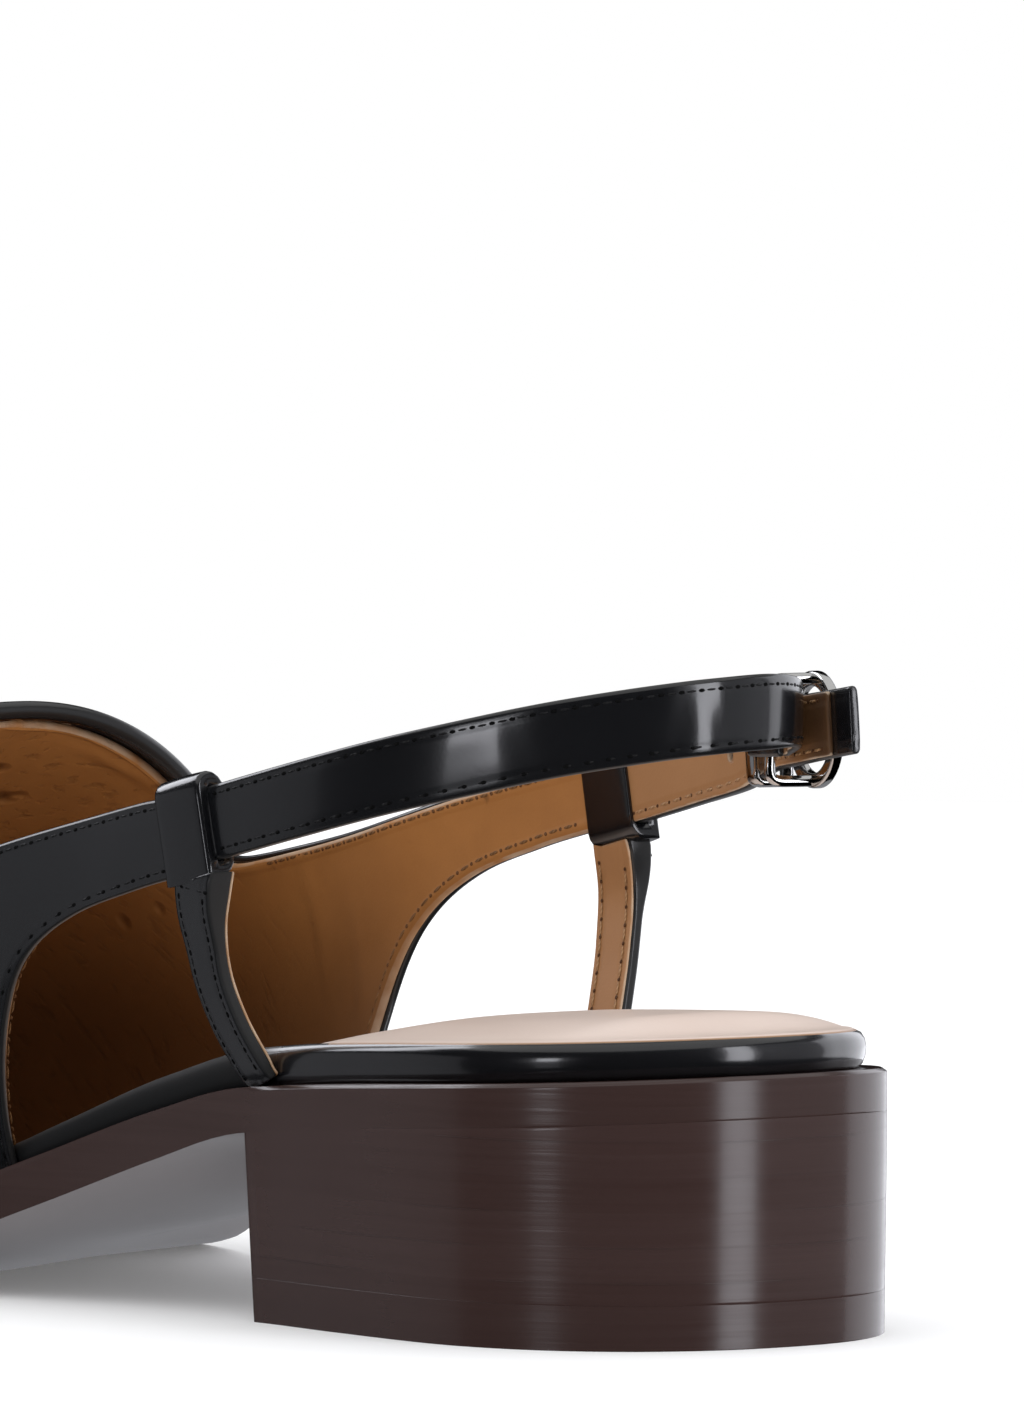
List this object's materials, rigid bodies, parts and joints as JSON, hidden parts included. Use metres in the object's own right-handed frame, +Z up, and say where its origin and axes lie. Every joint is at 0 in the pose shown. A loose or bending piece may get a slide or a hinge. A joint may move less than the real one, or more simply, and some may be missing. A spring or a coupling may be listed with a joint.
{
  "type": "slingback flat shoe",
  "caption": "Left slingback flat with a closed vamp, open sides, T-straps, a buckled heel strap and a low stacked block heel.",
  "frame": {"origin": "on the floor below the middle of the sole's outline", "axes": "+X from heel to toe, +Y to the wearer's left (the shoe's outer side), +Z up"},
  "size_m": [0.246, 0.0807, 0.0735],
  "materials": {
    "black_leather": "smooth polished black calf with tan lining",
    "insole_leather": "matt pinkish beige lining leather",
    "sole_leather": "dark brown burnished edge, glossy underside",
    "stacked_heel": "dark brown stacked lifts, satin",
    "heel_rubber": "dark brown, satin",
    "polished_metal": "polished silver"
  },
  "bodies": {
    "root": {"outsole": "sole_leather", "heel_block": "stacked_heel", "heel_top_piece": "heel_rubber", "footbed_rand": "black_leather", "insole": "insole_leather", "upper": "black_leather", "t_strap_outer": "black_leather", "t_strap_inner": "black_leather", "strap_loop_outer": "black_leather", "strap_loop_inner": "black_leather", "heel_strap_outer": "black_leather", "heel_strap_inner": "black_leather", "buckle_frame": "polished_metal", "buckle_prong": "polished_metal", "strap_keeper": "polished_metal"}
  },
  "joints": []
}
